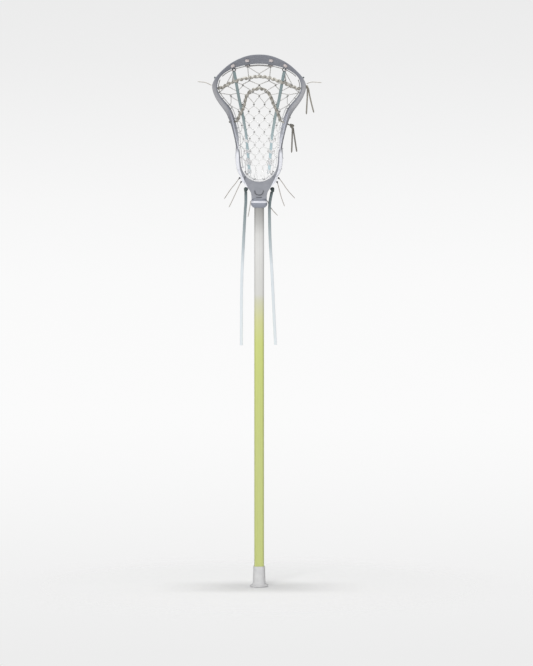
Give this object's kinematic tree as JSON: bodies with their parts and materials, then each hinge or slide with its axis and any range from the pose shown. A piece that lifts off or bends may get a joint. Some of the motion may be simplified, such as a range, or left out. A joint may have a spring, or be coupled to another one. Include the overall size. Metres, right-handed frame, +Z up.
{
  "type": "lacrosse stick",
  "caption": "Women's lacrosse stick: hollow octagonal shaft, open moulded head with scoop and screwed collar, strung net pocket with runners and shooting laces, and a pull-off flanged butt cap.",
  "frame": {"origin": "centre of the butt cap's flat end face", "axes": "+Z up the shaft towards the scoop, -Y out of the ball side of the head, +Y towards the back of the pocket, +X to the right seen from the ball side"},
  "size_m": [0.2534, 0.0633, 1.09],
  "materials": {
    "shaft_paint": "painted aluminium tube, white at the head end and yellow-green below",
    "head_nylon": "moulded nylon, satin grey, with white lower sidewalls",
    "cap_rubber": "matte light grey rubber",
    "screw_steel": "plated cross-recess screw",
    "white_foam": "white closed-cell foam",
    "mesh_cord": "waxed white braided nylon net",
    "strap_nylon": "grey-green woven nylon strap",
    "khaki_lace": "grey-brown braided lace",
    "thin_string": "thin off-white braided nylon string"
  },
  "bodies": {
    "stick": {"shaft": "shaft_paint", "head_frame": "head_nylon", "ball_stop_pad": "white_foam", "pocket_mesh": "mesh_cord", "top_string": "thin_string", "sidewall_string_left": "thin_string", "sidewall_string_right": "thin_string", "throat_string": "thin_string", "runner_left": "strap_nylon", "runner_right": "strap_nylon", "runner_knot_left": "strap_nylon", "runner_knot_right": "strap_nylon", "runner_tail_left": "strap_nylon", "runner_tail_right": "strap_nylon", "straight_shooter": "khaki_lace", "straight_shooter_knot_left": "khaki_lace", "straight_shooter_knot_right": "khaki_lace", "straight_shooter_tail_a": "khaki_lace", "straight_shooter_tail_b": "khaki_lace", "u_shooter": "khaki_lace", "u_shooter_knot_left": "khaki_lace", "u_shooter_knot_right": "khaki_lace", "u_shooter_tail_a": "khaki_lace", "u_shooter_tail_b": "khaki_lace", "sidewall_knot_left": "thin_string", "corner_knot_left": "thin_string", "throat_knot_outer_left": "thin_string", "throat_knot_inner_left": "thin_string", "throat_tail_outer_left": "thin_string", "throat_tail_inner_left": "thin_string", "throat_string_tail_left": "thin_string", "top_string_tail_left": "thin_string", "sidewall_knot_right": "thin_string", "corner_knot_right": "thin_string", "throat_knot_outer_right": "thin_string", "throat_knot_inner_right": "thin_string", "throat_tail_outer_right": "thin_string", "throat_tail_inner_right": "thin_string", "throat_string_tail_right": "thin_string", "top_string_tail_right": "thin_string"},
    "butt_cap": {"butt_cap": "cap_rubber"},
    "head_screw": {"head_screw": "screw_steel"}
  },
  "joints": [
    {"name": "butt_cap_pull", "type": "slide", "parent": "stick", "child": "butt_cap", "axis": [0, 0, -1], "range_m": [0, 0.05]},
    {"name": "head_screw_out", "type": "slide", "parent": "stick", "child": "head_screw", "axis": [0, 1, 0], "range_m": [0, 0.014]}
  ]
}
